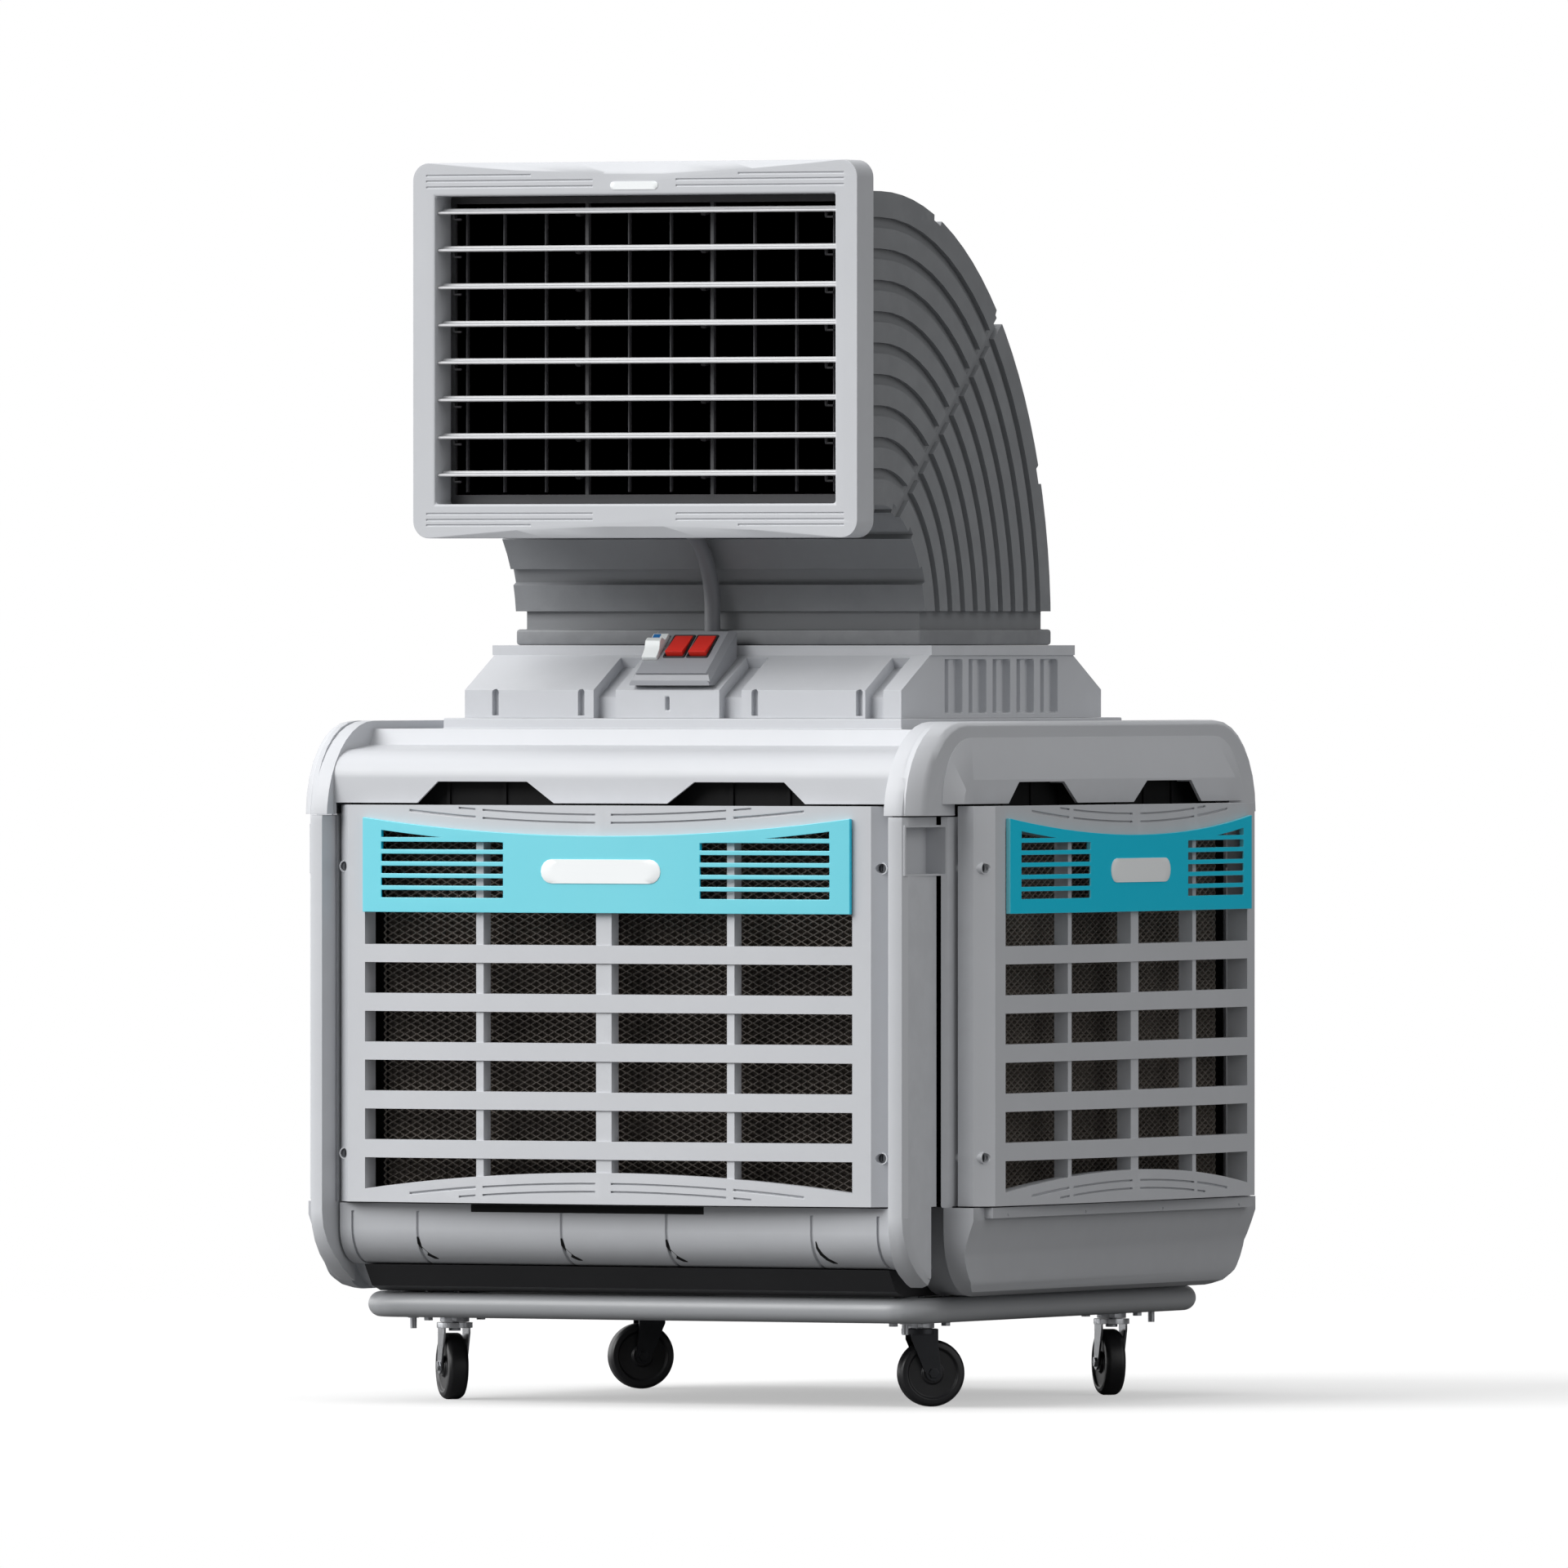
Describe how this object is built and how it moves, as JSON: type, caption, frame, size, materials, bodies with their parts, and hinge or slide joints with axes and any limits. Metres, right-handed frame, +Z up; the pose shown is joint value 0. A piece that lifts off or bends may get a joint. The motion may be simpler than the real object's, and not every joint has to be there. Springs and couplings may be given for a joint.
{
  "type": "evaporative cooler",
  "caption": "Wheeled evaporative cooler: square cabinet with bowed pad grilles, blue fascias, roof fan hood, ribbed duct elbow and louvred discharge head.",
  "frame": {"origin": "on the floor, under the centre of the cabinet", "axes": "+Z up, the discharge head and the front grille face -Y, +X to the right seen from the front"},
  "size_m": [1.2, 1.2, 1.854],
  "materials": {
    "cabinet_grey": "satin moulded plastic with a fine grain",
    "duct_grey": "satin moulded plastic with a fine grain",
    "box_grey": "satin moulded plastic",
    "fascia_blue": "semi-gloss moulded plastic",
    "zinc_steel": "zinc plated",
    "dark_steel": "black oxide",
    "black_plastic": "fine matt texture",
    "black_paint": "satin paint",
    "pad_cellulose": "corrugated cellulose sheets",
    "blade_grey": "satin",
    "pump_plastic": "satin",
    "pipe_plastic": "satin",
    "valve_brass": "machined",
    "rocker_red": "gloss",
    "switch_white": "gloss",
    "tyre_black": "semi-gloss moulded tread"
  },
  "bodies": {
    "root": {"tube_frame": "zinc_steel", "frame_bolts": "dark_steel", "caster_plates": "zinc_steel", "base_pan": "black_plastic", "water_tank": "cabinet_grey", "drain_plug": "black_plastic", "corner_posts": "cabinet_grey", "top_cover": "cabinet_grey", "front_grille": "cabinet_grey", "rear_grille": "cabinet_grey", "left_grille": "cabinet_grey", "right_grille": "cabinet_grey", "fascia_panels": "fascia_blue", "grille_screws": "dark_steel", "cooling_pads": "pad_cellulose", "hood_cap": "cabinet_grey", "duct_lower": "duct_grey", "duct_upper": "duct_grey", "head_frame": "cabinet_grey", "head_sleeve": "black_plastic", "swing_motor": "zinc_steel", "control_box": "box_grey", "conduit": "black_plastic", "fan_ring": "black_paint", "motor_bracket": "zinc_steel", "fan_motor": "black_paint", "water_pump": "pump_plastic", "water_pipes": "pipe_plastic", "float_valve": "valve_brass"},
    "fan": {"fan_rotor": "black_paint"},
    "louvre_blade_1": {"louvre_blade_1": "blade_grey"},
    "louvre_blade_2": {"louvre_blade_2": "blade_grey"},
    "louvre_blade_3": {"louvre_blade_3": "blade_grey"},
    "louvre_blade_4": {"louvre_blade_4": "blade_grey"},
    "louvre_blade_5": {"louvre_blade_5": "blade_grey"},
    "louvre_blade_6": {"louvre_blade_6": "blade_grey"},
    "louvre_blade_7": {"louvre_blade_7": "blade_grey"},
    "louvre_blade_8": {"louvre_blade_8": "blade_grey"},
    "blade_link": {"blade_link": "black_plastic"},
    "vane_1": {"vane_1": "black_plastic"},
    "vane_2": {"vane_2": "black_plastic"},
    "vane_3": {"vane_3": "black_plastic"},
    "vane_4": {"vane_4": "black_plastic"},
    "vane_5": {"vane_5": "black_plastic"},
    "vane_6": {"vane_6": "black_plastic"},
    "vane_7": {"vane_7": "black_plastic"},
    "vane_8": {"vane_8": "black_plastic"},
    "vane_link": {"vane_link": "black_plastic"},
    "rocker_1": {"rocker_1": "rocker_red"},
    "rocker_2": {"rocker_2": "rocker_red"},
    "main_switch": {"main_switch": "switch_white"},
    "float_arm": {"float_arm": "pipe_plastic"},
    "caster_fork_1": {"caster_fork_1": "zinc_steel"},
    "caster_wheel_1": {"caster_wheel_1": "tyre_black"},
    "caster_fork_2": {"caster_fork_2": "zinc_steel"},
    "caster_wheel_2": {"caster_wheel_2": "tyre_black"},
    "caster_fork_3": {"caster_fork_3": "zinc_steel"},
    "caster_wheel_3": {"caster_wheel_3": "tyre_black"},
    "caster_fork_4": {"caster_fork_4": "zinc_steel"},
    "caster_wheel_4": {"caster_wheel_4": "tyre_black"}
  },
  "joints": [
    {"name": "fan_spin", "type": "hinge", "parent": "root", "child": "fan", "pos_m": [0, 0, 0.97], "axis": [0, 0, 1], "continuous": true},
    {"name": "blade_1_tilt", "type": "hinge", "parent": "root", "child": "louvre_blade_1", "pos_m": [0, -0.464, 1.39], "axis": [1, 0, 0], "range_deg": [-25, 25]},
    {"name": "blade_2_tilt", "type": "hinge", "parent": "root", "child": "louvre_blade_2", "pos_m": [0, -0.464, 1.446], "axis": [1, 0, 0], "range_deg": [-25, 25]},
    {"name": "blade_3_tilt", "type": "hinge", "parent": "root", "child": "louvre_blade_3", "pos_m": [0, -0.464, 1.502], "axis": [1, 0, 0], "range_deg": [-25, 25]},
    {"name": "blade_4_tilt", "type": "hinge", "parent": "root", "child": "louvre_blade_4", "pos_m": [0, -0.464, 1.558], "axis": [1, 0, 0], "range_deg": [-25, 25]},
    {"name": "blade_5_tilt", "type": "hinge", "parent": "root", "child": "louvre_blade_5", "pos_m": [0, -0.464, 1.614], "axis": [1, 0, 0], "range_deg": [-25, 25]},
    {"name": "blade_6_tilt", "type": "hinge", "parent": "root", "child": "louvre_blade_6", "pos_m": [0, -0.464, 1.67], "axis": [1, 0, 0], "range_deg": [-25, 25]},
    {"name": "blade_7_tilt", "type": "hinge", "parent": "root", "child": "louvre_blade_7", "pos_m": [0, -0.464, 1.726], "axis": [1, 0, 0], "range_deg": [-25, 25]},
    {"name": "blade_8_tilt", "type": "hinge", "parent": "root", "child": "louvre_blade_8", "pos_m": [0, -0.464, 1.782], "axis": [1, 0, 0], "range_deg": [-25, 25]},
    {"name": "blade_link_pivot", "type": "hinge", "parent": "louvre_blade_1", "child": "blade_link", "pos_m": [0.323, -0.4482, 1.3925], "axis": [1, 0, 0], "range_deg": [-25, 25]},
    {"name": "vane_1_swing", "type": "hinge", "parent": "root", "child": "vane_1", "pos_m": [-0.308, -0.418, 1.57], "axis": [0, 0, 1], "range_deg": [-30, 30]},
    {"name": "vane_2_swing", "type": "hinge", "parent": "root", "child": "vane_2", "pos_m": [-0.245, -0.418, 1.57], "axis": [0, 0, 1], "range_deg": [-30, 30]},
    {"name": "vane_3_swing", "type": "hinge", "parent": "root", "child": "vane_3", "pos_m": [-0.175, -0.418, 1.57], "axis": [0, 0, 1], "range_deg": [-30, 30]},
    {"name": "vane_4_swing", "type": "hinge", "parent": "root", "child": "vane_4", "pos_m": [-0.035, -0.418, 1.57], "axis": [0, 0, 1], "range_deg": [-30, 30]},
    {"name": "vane_5_swing", "type": "hinge", "parent": "root", "child": "vane_5", "pos_m": [0.035, -0.418, 1.57], "axis": [0, 0, 1], "range_deg": [-30, 30]},
    {"name": "vane_6_swing", "type": "hinge", "parent": "root", "child": "vane_6", "pos_m": [0.175, -0.418, 1.57], "axis": [0, 0, 1], "range_deg": [-30, 30]},
    {"name": "vane_7_swing", "type": "hinge", "parent": "root", "child": "vane_7", "pos_m": [0.245, -0.418, 1.57], "axis": [0, 0, 1], "range_deg": [-30, 30]},
    {"name": "vane_8_swing", "type": "hinge", "parent": "root", "child": "vane_8", "pos_m": [0.308, -0.418, 1.57], "axis": [0, 0, 1], "range_deg": [-30, 30]},
    {"name": "vane_link_pivot", "type": "hinge", "parent": "vane_1", "child": "vane_link", "pos_m": [-0.308, -0.402, 1.787], "axis": [0, 0, 1], "range_deg": [-30, 30]},
    {"name": "rocker_1_rock", "type": "hinge", "parent": "root", "child": "rocker_1", "pos_m": [-0.028, -0.28705, 1.13041], "axis": [1, 0, 0], "range_deg": [0, 16]},
    {"name": "rocker_2_rock", "type": "hinge", "parent": "root", "child": "rocker_2", "pos_m": [0.011, -0.28705, 1.13041], "axis": [1, 0, 0], "range_deg": [0, 16]},
    {"name": "main_switch_rock", "type": "hinge", "parent": "root", "child": "main_switch", "pos_m": [-0.066, -0.29012, 1.12784], "axis": [1, 0, 0], "range_deg": [0, 12]},
    {"name": "float_arm_swing", "type": "hinge", "parent": "root", "child": "float_arm", "pos_m": [-0.3, 0.505, 0.28], "axis": [1, 0, 0], "range_deg": [-5, 12]},
    {"name": "caster_1_swivel", "type": "hinge", "parent": "root", "child": "caster_fork_1", "pos_m": [-0.391, -0.322, 0.11], "axis": [0, 0, 1], "continuous": true},
    {"name": "caster_1_roll", "type": "hinge", "parent": "caster_fork_1", "child": "caster_wheel_1", "pos_m": [-0.40215, -0.30917, 0.05], "axis": [-0.7547, -0.6561, 0], "continuous": true},
    {"name": "caster_2_swivel", "type": "hinge", "parent": "root", "child": "caster_fork_2", "pos_m": [0.391, -0.322, 0.11], "axis": [0, 0, 1], "continuous": true},
    {"name": "caster_2_roll", "type": "hinge", "parent": "caster_fork_2", "child": "caster_wheel_2", "pos_m": [0.40402, -0.31107, 0.05], "axis": [-0.6428, 0.766, 0], "continuous": true},
    {"name": "caster_3_swivel", "type": "hinge", "parent": "root", "child": "caster_fork_3", "pos_m": [0.391, 0.322, 0.11], "axis": [0, 0, 1], "continuous": true},
    {"name": "caster_3_roll", "type": "hinge", "parent": "caster_fork_3", "child": "caster_wheel_3", "pos_m": [0.37985, 0.33483, 0.05], "axis": [-0.7547, -0.6561, 0], "continuous": true},
    {"name": "caster_4_swivel", "type": "hinge", "parent": "root", "child": "caster_fork_4", "pos_m": [-0.391, 0.322, 0.11], "axis": [0, 0, 1], "continuous": true},
    {"name": "caster_4_roll", "type": "hinge", "parent": "caster_fork_4", "child": "caster_wheel_4", "pos_m": [-0.40402, 0.31107, 0.05], "axis": [0.6428, -0.766, 0], "continuous": true}
  ],
  "couplings": [
    {"joint": "blade_2_tilt", "follows": "blade_1_tilt", "ratio": 1},
    {"joint": "blade_3_tilt", "follows": "blade_1_tilt", "ratio": 1},
    {"joint": "blade_4_tilt", "follows": "blade_1_tilt", "ratio": 1},
    {"joint": "blade_5_tilt", "follows": "blade_1_tilt", "ratio": 1},
    {"joint": "blade_6_tilt", "follows": "blade_1_tilt", "ratio": 1},
    {"joint": "blade_7_tilt", "follows": "blade_1_tilt", "ratio": 1},
    {"joint": "blade_8_tilt", "follows": "blade_1_tilt", "ratio": 1},
    {"joint": "blade_link_pivot", "follows": "blade_1_tilt", "ratio": -1},
    {"joint": "vane_2_swing", "follows": "vane_1_swing", "ratio": 1},
    {"joint": "vane_3_swing", "follows": "vane_1_swing", "ratio": 1},
    {"joint": "vane_4_swing", "follows": "vane_1_swing", "ratio": 1},
    {"joint": "vane_5_swing", "follows": "vane_1_swing", "ratio": 1},
    {"joint": "vane_6_swing", "follows": "vane_1_swing", "ratio": 1},
    {"joint": "vane_7_swing", "follows": "vane_1_swing", "ratio": 1},
    {"joint": "vane_8_swing", "follows": "vane_1_swing", "ratio": 1},
    {"joint": "vane_link_pivot", "follows": "vane_1_swing", "ratio": -1}
  ]
}
